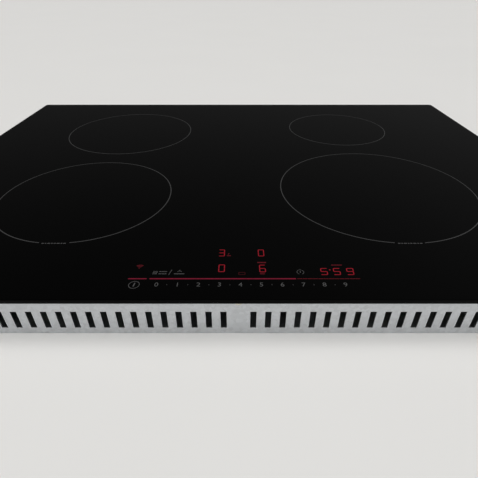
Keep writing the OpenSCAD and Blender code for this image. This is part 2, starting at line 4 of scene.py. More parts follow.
import bpy
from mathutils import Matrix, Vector


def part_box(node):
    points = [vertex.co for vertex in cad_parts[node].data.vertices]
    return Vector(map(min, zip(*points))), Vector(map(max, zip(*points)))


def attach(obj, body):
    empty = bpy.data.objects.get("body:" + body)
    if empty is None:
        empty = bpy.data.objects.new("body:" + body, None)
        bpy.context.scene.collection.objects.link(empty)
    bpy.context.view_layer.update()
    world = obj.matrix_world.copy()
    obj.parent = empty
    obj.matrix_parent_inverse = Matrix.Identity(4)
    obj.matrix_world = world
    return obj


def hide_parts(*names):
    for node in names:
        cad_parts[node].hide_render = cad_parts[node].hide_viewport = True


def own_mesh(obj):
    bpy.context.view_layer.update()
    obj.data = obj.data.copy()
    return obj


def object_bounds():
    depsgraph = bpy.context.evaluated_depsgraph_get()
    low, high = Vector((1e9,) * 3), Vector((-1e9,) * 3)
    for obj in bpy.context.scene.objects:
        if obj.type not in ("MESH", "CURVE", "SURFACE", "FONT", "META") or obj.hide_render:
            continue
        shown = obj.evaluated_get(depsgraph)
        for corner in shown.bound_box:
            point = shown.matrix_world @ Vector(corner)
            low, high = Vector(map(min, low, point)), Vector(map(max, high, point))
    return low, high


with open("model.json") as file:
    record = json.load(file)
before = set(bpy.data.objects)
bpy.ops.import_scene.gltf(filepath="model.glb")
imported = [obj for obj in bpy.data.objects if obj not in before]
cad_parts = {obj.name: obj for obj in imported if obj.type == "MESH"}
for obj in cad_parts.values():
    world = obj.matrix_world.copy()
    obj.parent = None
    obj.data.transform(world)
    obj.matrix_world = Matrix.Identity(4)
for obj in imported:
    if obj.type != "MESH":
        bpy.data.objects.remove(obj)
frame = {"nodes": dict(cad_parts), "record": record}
cad_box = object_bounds()

MM = 0.001
ROOT = "hob_body"
ZONES = ["rear_left", "front_left", "rear_right", "front_right"]


# ---------------------------------------------------------------- materials

class Surface:
    """A procedural material, built in steps round one Principled shader."""

    def __init__(self, name, colour, roughness, metallic=0.0):
        self.material = bpy.data.materials.new(name)
        self.material.use_nodes = True
        tree = self.material.node_tree
        self.nodes, self.links = tree.nodes, tree.links
        self.shader = next(n for n in tree.nodes if n.type == "BSDF_PRINCIPLED")
        self.shader.inputs["Base Color"].default_value = (*colour, 1)
        self.shader.inputs["Roughness"].default_value = roughness
        self.shader.inputs["Metallic"].default_value = metallic
        self.place = self.nodes.new("ShaderNodeTexCoord").outputs["Object"]
        self.colour = colour
        self.bump = None

    def _texture(self, kind, scale, stretch):
        node = self.nodes.new(kind)
        mapping = self.nodes.new("ShaderNodeMapping")
        mapping.inputs["Scale"].default_value = stretch
        self.links.new(self.place, mapping.inputs["Vector"])
        self.links.new(mapping.outputs["Vector"], node.inputs["Vector"])
        node.inputs["Scale"].default_value = scale
        return node

    def noise(self, scale, detail=3.0, stretch=(1, 1, 1)):
        node = self._texture("ShaderNodeTexNoise", scale, stretch)
        node.inputs["Detail"].default_value = detail
        return node.outputs["Fac"]

    def cells(self, scale, edges=False, stretch=(1, 1, 1)):
        node = self._texture("ShaderNodeTexVoronoi", scale, stretch)
        if edges:
            node.feature = "DISTANCE_TO_EDGE"
            return node.outputs["Distance"]
        return node.outputs["Color"]

    def bands(self, scale, direction="X", distortion=0.0):
        node = self._texture("ShaderNodeTexWave", scale, (1, 1, 1))
        node.bands_direction = direction
        node.inputs["Distortion"].default_value = distortion
        return node.outputs["Fac"]

    def ramp(self, factor, stops):
        """A colour ramp over factor; stops are (position, colour or grey)."""
        node = self.nodes.new("ShaderNodeValToRGB")
        while len(node.color_ramp.elements) < len(stops):
            node.color_ramp.elements.new(0.5)
        for element, (position, value) in zip(node.color_ramp.elements, stops):
            rgb = value if isinstance(value, tuple) else (value, value, value)
            element.position = position
            element.color = (*rgb, 1)
        self.links.new(factor, node.inputs["Fac"])
        return node.outputs["Color"]

    def tint(self, factor, spread, low=0.35, high=0.65):
        """The base colour, darker and lighter by spread along factor."""
        dark = tuple(c * (1 - spread) for c in self.colour)
        light = tuple(min(c * (1 + spread), 1) for c in self.colour)
        self.links.new(self.ramp(factor, [(low, dark), (high, light)]),
                       self.shader.inputs["Base Color"])
        return self

    def gloss(self, factor, least, most, low=0.35, high=0.65):
        self.links.new(self.ramp(factor, [(low, least), (high, most)]),
                       self.shader.inputs["Roughness"])
        return self

    def relief(self, factor, depth, strength=1.0):
        """A bump of the given depth in metres, on top of any earlier one."""
        node = self.nodes.new("ShaderNodeBump")
        node.inputs["Distance"].default_value = depth
        node.inputs["Strength"].default_value = strength
        self.links.new(factor, node.inputs["Height"])
        if self.bump is not None:
            self.links.new(self.bump, node.inputs["Normal"])
        self.bump = node.outputs["Normal"]
        self.links.new(self.bump, self.shader.inputs["Normal"])
        return self


def polished_glass():
    s = Surface("polished_glass", (0.00022, 0.00022, 0.00024), 0.04)
    s.shader.inputs["IOR"].default_value = 1.53
    s.tint(s.noise(7.0), 0.25)
    s.gloss(s.noise(22.0, 5.0), 0.03, 0.055)
    return s.material


def ground_glass():
    """The matt ground edge, which takes little gloss."""
    s = Surface("ground_glass_edge", (0.0019, 0.0018, 0.0018), 0.35)
    s.shader.inputs["Specular IOR Level"].default_value = 0.03
    s.tint(s.noise(900.0), 0.3)
    s.gloss(s.noise(600.0), 0.28, 0.42)
    s.relief(s.noise(5000.0), 0.00002)
    return s.material


def enamel(name, grey):
    s = Surface(name, (grey, grey, grey), 0.55)
    s.tint(s.noise(2600.0, 4.0), 0.22)
    s.relief(s.noise(6000.0), 0.00001)
    return s.material


def lit(name, colour, strength):
    """Light of a display behind the glass, a little uneven along a bar."""
    s = Surface(name, tuple(0.01 * c for c in colour), 0.5)
    s.shader.inputs["Specular IOR Level"].default_value = 0.2
    dark = tuple(0.8 * c for c in colour)
    glow = s.ramp(s.noise(420.0, 2.0), [(0.35, dark), (0.6, colour)])
    s.links.new(glow, s.shader.inputs["Emission Color"])
    s.shader.inputs["Emission Strength"].default_value = strength
    s.tint(s.noise(900.0), 0.15)
    return s.material


def foam(name, colour):
    s = Surface(name, colour, 0.9)
    s.tint(s.noise(1500.0), 0.35)
    s.relief(s.cells(2600.0, edges=True), 0.00015, 0.8)
    return s.material


def rubber(name, colour):
    s = Surface(name, colour, 0.7)
    s.tint(s.noise(350.0), 0.15)
    s.gloss(s.noise(900.0), 0.6, 0.8)
    s.relief(s.noise(3000.0), 0.00003)
    return s.material


def zinc_sheet():
    """Hot-dip zinc: small flat spangles of uneven tone, with fine rolling lines."""
    s = Surface("zinc_sheet", (0.6, 0.62, 0.64), 0.4, metallic=1.0)
    spangle = s.cells(330.0)
    s.tint(spangle, 0.09, 0.1, 0.9)
    s.gloss(spangle, 0.34, 0.46, 0.1, 0.9)
    s.relief(s.noise(1800.0, 3.0, (1, 12, 12)), 0.00002, 0.5)
    return s.material


def coated_spring():
    """Spring strip with a dull zinc-flake coat."""
    s = Surface("coated_spring", (0.55, 0.56, 0.57), 0.42, metallic=0.5)
    s.tint(s.noise(900.0, 5.0), 0.16)
    s.gloss(s.noise(500.0), 0.36, 0.55)
    s.relief(s.noise(2400.0, 4.0), 0.00003, 0.7)
    return s.material


def rolled_metal(name, colour, roughness, along=(1, 14, 14)):
    s = Surface(name, colour, roughness, metallic=1.0)
    s.tint(s.noise(260.0, 4.0, along), 0.1)
    s.gloss(s.noise(420.0, 4.0, along), roughness * 0.75, roughness * 1.3)
    s.relief(s.noise(1500.0, 3.0, along), 0.00002, 0.6)
    return s.material


def plastic(name, colour, roughness=0.5, grain=2600.0):
    """Moulded plastic with a fine spark-eroded grain."""
    s = Surface(name, colour, roughness)
    s.tint(s.noise(45.0), 0.08)
    s.gloss(s.noise(grain * 0.4), roughness * 0.85, roughness * 1.15)
    s.relief(s.noise(grain, 4.0), 0.00004, 0.7)
    return s.material


def circuit_board(name, colour):
    """Solder mask over long parallel copper tracks, with a few tinned pads."""
    s = Surface(name, colour, 0.3)
    track = s.nodes.new("ShaderNodeTexBrick")
    track.inputs["Scale"].default_value = 60.0
    track.inputs["Brick Width"].default_value = 1.1
    track.inputs["Row Height"].default_value = 0.075
    track.inputs["Mortar Size"].default_value = 0.012
    track.inputs["Mortar Smooth"].default_value = 0.3
    track.inputs["Color1"].default_value = (*colour, 1)
    track.inputs["Color2"].default_value = (*[c * 0.85 for c in colour], 1)
    track.inputs["Mortar"].default_value = (*[min(c * 1.5, 1) for c in colour], 1)
    s.links.new(s.place, track.inputs["Vector"])
    pads = s.ramp(s.cells(260.0, edges=True), [(0.0, 0.0), (0.04, 1.0)])
    mix = s.nodes.new("ShaderNodeMix")
    mix.data_type = "RGBA"
    s.links.new(pads, mix.inputs["Factor"])
    mix.inputs["A"].default_value = (*[min(c * 1.6, 1) for c in colour], 1)
    s.links.new(track.outputs["Color"], mix.inputs["B"])
    s.links.new(mix.outputs["Result"], s.shader.inputs["Base Color"])
    s.relief(track.outputs["Fac"], 0.00004, 0.6)
    return s.material


def litz(name, colour):
    """Bundled enamelled strands, twisted, with a satin varnish, and painted shade in the grooves
    between the strands and painted highlight on their crests.
    """
    s = Surface(name, colour, 0.38, metallic=0.7)
    twist_relief_and_shade = s.bands(520.0, "DIAGONAL", 1.5)
    # painted shade and highlight: the tint follows the bump, darker in the grooves and lighter on the
    # crests
    s.tint(twist_relief_and_shade, 0.35)
    s.relief(twist_relief_and_shade, 0.0002, 0.8)
    return s.material


def sintered(name, colour):
    s = Surface(name, colour, 0.55)
    s.tint(s.noise(1200.0, 6.0), 0.3)
    s.relief(s.noise(2200.0), 0.00005)
    return s.material


def mica(name, colour):
    """Pressed flakes: pale overlapping patches with fine edges."""
    s = Surface(name, colour, 0.45)
    s.tint(s.cells(110.0), 0.2, 0.1, 0.9)
    s.gloss(s.noise(300.0), 0.3, 0.6)
    s.relief(s.cells(110.0, edges=True), 0.0001, 0.5)
    return s.material


def flat_cable(name, colour):
    """Flat cable: parallel cores side by side, with painted shade in the grooves between them and
    painted highlight on their crests.
    """
    s = Surface(name, colour, 0.4)
    cores = s.bands(250.0, "X")
    # painted shade and highlight: the tint follows the bump, darker between the cores and lighter on
    # them
    s.tint(cores, 0.25)
    s.relief(cores, 0.0003)
    return s.material


def sleeve(name, colour):
    s = Surface(name, colour, 0.35)
    s.tint(s.noise(200.0, 2.0), 0.12)
    s.gloss(s.noise(500.0), 0.28, 0.42)
    return s.material


SURFACES = {
    "ceramic_glass": polished_glass(),
    "seal_foam": foam("seal_foam", (0.035, 0.026, 0.021)),
    "zinc_steel": zinc_sheet(),
    "mica": mica("mica", (0.6, 0.54, 0.4)),
    "aluminium_sheet": rolled_metal("aluminium_sheet", (0.76, 0.77, 0.78), 0.36),
    "sink_aluminium": rolled_metal("sink_aluminium", (0.7, 0.71, 0.72), 0.42, (14, 1, 14)),
    "spring_steel": coated_spring(),
    "screw_steel": rolled_metal("screw_steel", (0.62, 0.6, 0.52), 0.25, (1, 1, 1)),
    "blank_label": rolled_metal("blank_label", (0.7, 0.7, 0.69), 0.5),
    "circuit_board": circuit_board("circuit_board", (0.02, 0.13, 0.05)),
    "touch_circuit": circuit_board("touch_circuit", (0.012, 0.05, 0.1)),
    "chip_plastic": plastic("chip_plastic", (0.02, 0.02, 0.022), 0.45),
    "capacitor_box": plastic("capacitor_box", (0.5, 0.45, 0.3), 0.35),
    "relay_case": plastic("relay_case", (0.62, 0.62, 0.63), 0.3),
    "black_plastic": plastic("black_plastic", (0.022, 0.022, 0.024), 0.5),
    "fan_plastic": plastic("fan_plastic", (0.035, 0.035, 0.038), 0.42),
    "light_plastic": plastic("light_plastic", (0.55, 0.55, 0.53), 0.45),
    "former_plastic": plastic("former_plastic", (0.6, 0.56, 0.44), 0.5),
    "copper_wire": litz("copper_wire", (0.5, 0.2, 0.08)),
    "ferrite": sintered("ferrite", (0.03, 0.03, 0.034)),
    "pad_rubber": rubber("pad_rubber", (0.02, 0.02, 0.02)),
    "sensor_rubber": rubber("sensor_rubber", (0.3, 0.03, 0.02)),
    "red_lens": sleeve("red_lens", (0.3, 0.012, 0.01)),
    "cable_sleeve": flat_cable("cable_sleeve", (0.5, 0.5, 0.52)),
    "lead_sleeve": sleeve("lead_sleeve", (0.16, 0.08, 0.035)),
}
GROUND_GLASS = ground_glass()
SILICONE = rubber("bonding_silicone", (0.012, 0.012, 0.012))
PLATE_INK = enamel("plate_ink", 0.03)
ZONE_PRINT = enamel("zone_print", 0.045)
SCALE_PRINT = enamel("scale_print", 0.066)
ICON_PRINT = enamel("icon_print", 0.055)
LIT_FIGURE = lit("lit_figure", (1.0, 0.035, 0.07), 0.26)
LIT_BAR = lit("lit_bar", (1.0, 0.05, 0.15), 0.16)
LIT_DIM = lit("lit_dim", (1.0, 0.07, 0.12), 0.09)
LIT_FAINT = lit("lit_faint", (1.0, 0.08, 0.14), 0.03)

for part in frame["record"]["subparts"]:
    mesh = frame["nodes"][part["node"]].data
    mesh.materials.clear()
    mesh.materials.append(SURFACES[part["material_slot"]])


# ------------------------------------------------------------------- shapes

def add_piece(name, verts, faces, material, slot, body=ROOT):
    """A mesh piece that rides on a CAD body."""
    mesh = bpy.data.meshes.new(name)
    mesh.from_pydata(verts, [], faces)
    mesh.validate()
    mesh.materials.append(material)
    piece = bpy.data.objects.new(name, mesh)
    bpy.context.scene.collection.objects.link(piece)
    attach(piece, body)
    return piece


def shade_smooth(piece, quads_only=False):
    """Smooth faces; quads_only leaves the end caps flat."""
    for face in piece.data.polygons:
        face.use_smooth = len(face.vertices) == 4 or not quads_only


def rounded_loop(low, high, radius, inset, z, steps=10):
    """A rounded rectangle inside the corners low and high, moved in by inset."""
    r = max(radius - inset, 0.2 * MM)
    left, right = low.x + inset + r, high.x - inset - r
    front, rear = low.y + inset + r, high.y - inset - r
    corners = [(right, front, -90), (right, rear, 0), (left, rear, 90), (left, front, 180)]
    loop = []
    for cx, cy, start in corners:
        for i in range(steps + 1):
            a = math.radians(start + 90 * i / steps)
            loop.append((cx + r * math.cos(a), cy + r * math.sin(a), z))
    return loop


def loft(loops, caps=True):
    """Quads between loops of equal length, with flat caps or closed on itself."""
    n = len(loops[0])
    verts = [p for loop in loops for p in loop]
    rows = len(loops)
    faces = []
    for i in range(rows - 1 if caps else rows):
        a, b = i * n, (i + 1) % rows * n
        faces += [(a + k, a + (k + 1) % n, b + (k + 1) % n, b + k) for k in range(n)]
    if caps:
        faces.append(tuple(range(n - 1, -1, -1)))
        faces.append(tuple(range((rows - 1) * n, rows * n)))
    return verts, faces


class Inlay:
    """Thin flat shapes on the glass, gathered into one piece. Millimetres:
    x from the middle of the glass, y from its front edge."""

    rise = 0.04 * MM
    sink = 0.01 * MM

    def __init__(self, front, top):
        self.front, self.top = front, top
        self.verts, self.faces = [], []

    def shape(self, outline):
        """A closed outline, anticlockwise."""
        n, base = len(outline), len(self.verts)
        for z in (self.top - self.sink, self.top + self.rise):
            self.verts += [(x * MM, self.front + y * MM, z) for x, y in outline]
        for k in range(n):
            m = (k + 1) % n
            self.faces.append((base + k, base + m, base + n + m, base + n + k))
        self.faces.append(tuple(base + k for k in range(n - 1, -1, -1)))
        self.faces.append(tuple(base + n + k for k in range(n)))

    def arc(self, x, y, radius, width, start, end, steps=24):
        """A stroke along a circle; start to end runs anticlockwise, in degrees."""
        full = abs(end - start) >= 360
        count = steps if full else steps + 1
        angles = [math.radians(start + (end - start) * i / steps) for i in range(count)]
        base = len(self.verts)
        for r in (radius - width / 2, radius + width / 2):
            for z in (self.top - self.sink, self.top + self.rise):
                self.verts += [((x + r * math.cos(a)) * MM, self.front + (y + r * math.sin(a)) * MM, z)
                               for a in angles]
        inner_low, inner_high, outer_low, outer_high = (base + i * count for i in range(4))
        for k in range(count if full else count - 1):
            m = (k + 1) % count
            self.faces += [
                (inner_high + k, outer_high + k, outer_high + m, inner_high + m),
                (inner_low + m, outer_low + m, outer_low + k, inner_low + k),
                (outer_low + k, outer_low + m, outer_high + m, outer_high + k),
                (inner_low + m, inner_low + k, inner_high + k, inner_high + m),
            ]
        if not full:
            self.faces.append((inner_low, outer_low, outer_high, inner_high))
            e = count - 1
            self.faces.append((outer_low + e, inner_low + e, inner_high + e, outer_high + e))

    def dot(self, x, y, radius, steps=14):
        self.shape([(x + radius * math.cos(2 * math.pi * i / steps),
                     y + radius * math.sin(2 * math.pi * i / steps)) for i in range(steps)])

    def bar(self, x0, y0, x1, y1, width):
        """A straight stroke with round ends."""
        turn = math.atan2(y1 - y0, x1 - x0)
        half, steps = width / 2, 5
        outline = []
        for x, y, start in ((x1, y1, turn - math.pi / 2), (x0, y0, turn + math.pi / 2)):
            for i in range(steps + 1):
                a = start + math.pi * i / steps
                outline.append((x + half * math.cos(a), y + half * math.sin(a)))
        self.shape(outline)

    def segment_figure(self, figure, x, y, width, height, stroke, slant=0.0):
        """A seven-segment figure; x, y is its lower left corner."""
        lit_segments = {"0": "abcdef", "3": "abgcd", "5": "afgcd", "6": "acdefg", "9": "abcdfg"}
        half = height / 2
        ends = {
            "a": ((0, height), (width, height)), "g": ((0, half), (width, half)),
            "d": ((0, 0), (width, 0)), "f": ((0, half), (0, height)),
            "b": ((width, half), (width, height)), "e": ((0, 0), (0, half)),
            "c": ((width, 0), (width, half)),
        }
        for name in lit_segments[figure]:
            (ax, ay), (bx, by) = ends[name]
            length = math.hypot(bx - ax, by - ay)
            trim = 0.62 * stroke / length
            px, py = ax + (bx - ax) * trim, ay + (by - ay) * trim
            qx, qy = bx - (bx - ax) * trim, by - (by - ay) * trim
            self.bar(x + px + slant * py, y + py, x + qx + slant * qy, y + qy, stroke)

    def numeral(self, text, x, y, size):
        """A printed number, from the built-in sans-serif face."""
        curve = bpy.data.curves.new("numeral", "FONT")
        curve.body = text
        curve.size = size * MM
        curve.align_x = "CENTER"
        curve.align_y = "CENTER"
        curve.extrude = (self.rise + self.sink) / 2
        curve.resolution_u = 4
        carrier = bpy.data.objects.new("numeral", curve)
        bpy.context.scene.collection.objects.link(carrier)
        graph = bpy.context.evaluated_depsgraph_get()
        mesh = bpy.data.meshes.new_from_object(carrier.evaluated_get(graph))
        base = len(self.verts)
        middle = self.top + (self.rise - self.sink) / 2
        self.verts += [(x * MM + v.co.x, self.front + y * MM + v.co.y, middle + v.co.z)
                       for v in mesh.vertices]
        self.faces += [tuple(base + i for i in p.vertices) for p in mesh.polygons]
        bpy.data.objects.remove(carrier)
        bpy.data.meshes.remove(mesh)
        bpy.data.curves.remove(curve)

    def lay(self, name, material, slot):
        return add_piece(name, self.verts, self.faces, material, slot)


# -------------------------------------------------------------------- glass

glass_low, glass_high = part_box("glass_plate")
CORNER = 5 * MM
ARRIS = 0.9 * MM
FRAME_CORNER = 7 * MM
SEAL_CORNER = 4 * MM
SEAL_WIDTH = 9 * MM


def glass_plate():
    """The glass with rounded arrises. Its flat faces and its upper arris are
    polished, and the edge below them is ground matt."""
    steps = 5
    angles = [math.radians(90 * i / steps) for i in range(steps + 1)]
    lower = [(ARRIS * (1 - math.sin(a)), glass_low.z + ARRIS * (1 - math.cos(a)))
             for a in angles]
    upper = [(ARRIS * (1 - math.cos(a)), glass_high.z - ARRIS * (1 - math.sin(a)))
             for a in angles]
    loops = [rounded_loop(glass_low, glass_high, CORNER, inset, z)
             for inset, z in lower + upper]
    piece = add_piece("glass_top", *loft(loops), SURFACES["ceramic_glass"], "ceramic_glass")
    piece.data.materials.append(GROUND_GLASS)
    shade_smooth(piece, quads_only=True)
    for face in piece.data.polygons:
        polished = face.normal.z > 0.4 or face.normal.z < -0.99
        face.material_index = 0 if polished else 1
    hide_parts("glass_plate")
    return piece


def bonding_bead():
    """Silicone squeezed out where the frame is bonded to the glass."""
    low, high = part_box("glass_frame")
    section = [(0.0, -2.3), (0.55, -1.9), (1.1, -1.1), (1.9, -0.5), (2.4, 0.0), (0.0, 0.0)]
    loops = [rounded_loop(low, high, FRAME_CORNER, -out * MM, glass_low.z + rise * MM)
             for out, rise in section]
    piece = add_piece("bonding_bead", *loft(loops, caps=False), SILICONE, "pad_rubber")
    shade_smooth(piece)


def worktop_seal():
    """Foam strip under the rim, its edges rounded and its outer side a little
    swollen between them."""
    low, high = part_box("edge_seal")
    height = high.z - low.z
    swell, round_off = 0.12 * MM, 0.35 * MM
    outer = [(round_off, 0.0), (swell, 0.22), (0.0, 0.5), (swell, 0.78), (round_off, 1.0)]
    inner = [(SEAL_WIDTH - inset, 1 - level) for inset, level in outer]
    loops = [rounded_loop(low, high, SEAL_CORNER, inset, low.z + level * height)
             for inset, level in outer + inner]
    piece = add_piece("foam_seal", *loft(loops, caps=False), SURFACES["seal_foam"], "seal_foam")
    shade_smooth(piece)
    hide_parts("edge_seal")


# ------------------------------------------------------------------ springs


def islands(node):
    """The separate solids of a CAD node, as pairs of lowest and highest corners."""
    mesh = frame["nodes"][node].data
    spots = [tuple(round(c, 6) for c in vertex.co) for vertex in mesh.vertices]
    parent = {spot: spot for spot in spots}

    def top(spot):
        while parent[spot] != spot:
            parent[spot] = parent[parent[spot]]
            spot = parent[spot]
        return spot

    for edge in mesh.edges:
        a, b = (top(spots[i]) for i in edge.vertices)
        parent[a] = b
    groups = {}
    for spot in parent:
        groups.setdefault(top(spot), []).append(spot)
    return [(Vector(map(min, zip(*points))), Vector(map(max, zip(*points))))
            for points in groups.values()]


def helix(low, high, wire, turns, per_turn=28):
    """Centreline of a compression spring whose end turns lie nearly flat."""
    x, y = (low.x + high.x) / 2, (low.y + high.y) / 2
    radius = (high.x - low.x - wire) / 2
    rise = high.z - low.z - wire
    flat_turns = 0.75
    flat_rise = 0.5 * wire
    points = []
    for i in range(round(turns * per_turn) + 1):
        t = i / per_turn
        if t < flat_turns:
            z = flat_rise * t / flat_turns
        elif t > turns - flat_turns:
            z = rise - flat_rise * (turns - t) / flat_turns
        else:
            share = (t - flat_turns) / (turns - 2 * flat_turns)
            z = flat_rise + (rise - 2 * flat_rise) * share
        a = 2 * math.pi * t
        points.append(Vector((x + radius * math.cos(a), y + radius * math.sin(a),
                              low.z + wire / 2 + z)))
    return points


def swept_wire(points, wire, sides=10):
    """A round wire along points, with flat ends."""
    verts, faces = [], []
    for i, point in enumerate(points):
        heading = points[min(i + 1, len(points) - 1)] - points[max(i - 1, 0)]
        across = heading.cross(Vector((0, 0, 1))).normalized()
        up = across.cross(heading).normalized()
        for k in range(sides):
            a = 2 * math.pi * k / sides
            verts.append(point + wire / 2 * (math.cos(a) * across + math.sin(a) * up))
    for i in range(len(points) - 1):
        row = i * sides
        faces += [(row + k, row + sides + k, row + sides + (k + 1) % sides, row + (k + 1) % sides)
                  for k in range(sides)]
    last = (len(points) - 1) * sides
    faces.append(tuple(range(sides)))
    faces.append(tuple(range(last + sides - 1, last - 1, -1)))
    return verts, faces


COIL_SPRING = {"wire": 1.0 * MM, "turns": 3.5}
CONTROL_SPRING = {"wire": 0.8 * MM, "turns": 4.5}


def compression_springs(node, joint, wire, turns):
    """The springs under a floating unit. They stand on the coil plate."""
    verts, faces = [], []
    for low, high in islands(node):
        more, quads = swept_wire(helix(low, high, wire, turns), wire)
        faces += [tuple(len(verts) + i for i in quad) for quad in quads]
        verts += more
    piece = add_piece(node + "_wound", verts, faces, SURFACES["spring_steel"], "spring_steel")
    shade_smooth(piece, quads_only=True)
    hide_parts(node)
    low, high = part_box(node)
    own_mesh(piece)


# ----------------------------------------------------- ribbon and rating plate

def extrude_up(outline, low_z, high_z):
    """A closed outline of x, y pairs in metres, anticlockwise, made upright."""
    return loft([[(x, y, z) for x, y in outline] for z in (low_z, high_z)])


def ribbon():
    """Flat cable with ridged cores, and the plug that holds it on the power board."""
    low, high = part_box("ribbon_cable")
    plug_height, side, cores = 6 * MM, 1 * MM, 18
    x0, x1 = low.x + side, high.x - side
    y = (low.y + high.y) / 2
    half_core = (x1 - x0) / cores / 2
    crest, valley = 0.4 * MM, 0.2 * MM
    ridge = [(i, crest if i % 2 else valley) for i in range(2 * cores + 1)]
    front = [(x0 + i * half_core, y - depth) for i, depth in ridge]
    rear = [(x0 + i * half_core, y + depth) for i, depth in reversed(ridge)]
    flat = add_piece("ribbon_flat", *extrude_up(front + rear, low.z + plug_height, high.z),
                     SURFACES["cable_sleeve"], "cable_sleeve")
    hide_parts("ribbon_cable")
    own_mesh(flat)
    corner, bevel = 0.8 * MM, 0.5 * MM
    plug = [rounded_loop(low, high, corner, inset, low.z + z)
            for inset, z in ((0, 0), (0, plug_height - 0.6 * MM), (bevel, plug_height))]
    add_piece("ribbon_plug", *loft(plug), SURFACES["black_plastic"], "black_plastic")


def plate_print():
    """Blank ruled boxes on the rating plate, where a real one has its text."""
    low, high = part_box("rating_plate")
    y0, y1 = high.y - Inlay.sink, high.y + Inlay.rise
    verts, faces = [], []

    def rule(xa, za, xb, zb):
        base = len(verts)
        for y in (y0, y1):
            verts.extend([(xa, y, za), (xa, y, zb), (xb, y, zb), (xb, y, za)])
        for k in range(4):
            m = (k + 1) % 4
            faces.append((base + k, base + m, base + 4 + m, base + 4 + k))
        faces.append((base + 3, base + 2, base + 1, base))
        faces.append((base + 4, base + 5, base + 6, base + 7))

    line, margin = 0.3 * MM, 1.5 * MM
    left, right = low.x + margin, high.x - margin
    under, over = low.z + margin, high.z - margin
    middle = left + 0.62 * (right - left)
    rows, clear = 4, 0.03 * MM
    step = (over - under - line) / rows
    for i in range(rows + 1):
        z = under + step * i
        rule(left, z, right, z + line)
    for x in (left, middle, right - line):
        for i in range(rows):
            rule(x, under + i * step + line + clear, x + line, under + (i + 1) * step - clear)
    add_piece("plate_print", verts, faces, PLATE_INK, "chip_plastic")


# -------------------------------------------------------------- zone prints

# Millimetres on the glass from here on: x from its middle, y from its front edge
RING_LINE = 0.9
RIM_MARGIN = 5
FRONT_GAP = 26.8


def new_inlay():
    return Inlay(glass_low.y, glass_high.z)


def zone_ring(zone):
    """The printed circle of a zone. The front zones leave a gap at the front
    for a row of short dashes."""
    sensor_low, sensor_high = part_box(zone + "_sensor")
    former_low, former_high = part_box(zone + "_former")
    x = (sensor_low.x + sensor_high.x) / 2 / MM
    y = ((sensor_low.y + sensor_high.y) / 2 - glass_low.y) / MM
    radius = (former_high.x - former_low.x) / 2 / MM + RIM_MARGIN
    line = radius - RING_LINE / 2
    ring = new_inlay()
    if zone.startswith("rear"):
        ring.arc(x, y, line, RING_LINE, 0, 360, 160)
        ring.lay(zone + "_ring", ZONE_PRINT, "zone_print")
        return
    half_gap = math.degrees(math.asin(FRONT_GAP / 2 / line))
    ring.arc(x, y, line, RING_LINE, -90 + half_gap, 270 - half_gap, 160)
    ring.lay(zone + "_ring", ZONE_PRINT, "zone_print")
    marks = new_inlay()
    lengths = [2.4, 1.7, 3.0, 1.6, 2.2, 3.0, 1.8, 2.6]
    gap, thick = 0.5, 1.2
    at = x - (sum(lengths) + gap * (len(lengths) - 1)) / 2
    for length in lengths:
        marks.bar(at + thick / 2, y - line, at + length - thick / 2, y - line, thick)
        at += length + gap
    marks.lay(zone + "_marks", ICON_PRINT, "zone_print")


# ----------------------------------------------------------- control strip

SLIDER_Y = 24.2
SLIDER_START = -85.4
SLIDER_BREAK = (-71.9, -68.7)
SLIDER_LIT_END = 44.3
SLIDER_END = 95.2
SCALE_Y = 17.1
SCALE_START = -62.7
SCALE_STEP = 16.06
ICON_Y = 31.6


def slider():
    """The lit slider line: a short start, a bright run, then a faint rest."""
    bright = new_inlay()
    bright.bar(SLIDER_START, SLIDER_Y, SLIDER_BREAK[0], SLIDER_Y, 1.1)
    bright.bar(SLIDER_BREAK[1], SLIDER_Y, SLIDER_LIT_END, SLIDER_Y, 1.2)
    bright.lay("slider_lit", LIT_BAR, "lit_red")
    faint = new_inlay()
    dash, gap = 3.4, 0.7
    x = SLIDER_LIT_END + 1.7
    while x + dash < SLIDER_END:
        faint.bar(x, SLIDER_Y, x + dash, SLIDER_Y, 0.6)
        x += dash + gap
    faint.lay("slider_unlit", LIT_DIM, "lit_red")


def slider_scale():
    """Printed levels 0 to 9, with a dot half way between."""
    scale = new_inlay()
    for level in range(10):
        x = SCALE_START + level * SCALE_STEP
        scale.numeral(str(level), x, SCALE_Y, 6.4)
        if level < 9:
            scale.dot(x + SCALE_STEP / 2, SCALE_Y, 0.33)
    scale.lay("slider_scale", SCALE_PRINT, "zone_print")


def power_key():
    """A ring with a short upright stroke in it."""
    key = new_inlay()
    x, y = -79.7, 17.0
    key.arc(x, y, 4.05, 0.42, 0, 360, 40)
    key.bar(x - 0.2, y - 1.7, x + 0.2, y + 1.9, 0.9)
    key.lay("power_key", SCALE_PRINT, "zone_print")


def left_icons():
    """Printed key symbols left of the displays: all plain generic marks."""
    icons = new_inlay()
    grille_x, dashes_x, slash_x, bell_x = -67.7, -62.8, -55.0, -46.9
    for i in range(4):
        x = grille_x + i * 0.9
        icons.bar(x, ICON_Y - 1.8, x + 0.3, ICON_Y + 1.8, 0.5)
    icons.bar(grille_x - 0.2, ICON_Y, grille_x + 3.2, ICON_Y, 0.6)
    for row in (-1.4, 1.4):
        for i, length in enumerate((1.3, 1.7, 0.9)):
            x = dashes_x + i * 2.3
            icons.bar(x, ICON_Y + row, x + length, ICON_Y + row, 0.9)
    icons.bar(slash_x, ICON_Y - 2.6, slash_x + 1.6, ICON_Y + 3.6, 0.5)
    icons.bar(bell_x - 3.7, ICON_Y - 1.4, bell_x + 3.7, ICON_Y - 1.4, 0.9)
    icons.arc(bell_x, ICON_Y + 0.4, 1.7, 0.5, 20, 160, 10)
    icons.dot(bell_x, ICON_Y + 3.0, 0.5)
    icons.lay("left_icons", ICON_PRINT, "zone_print")


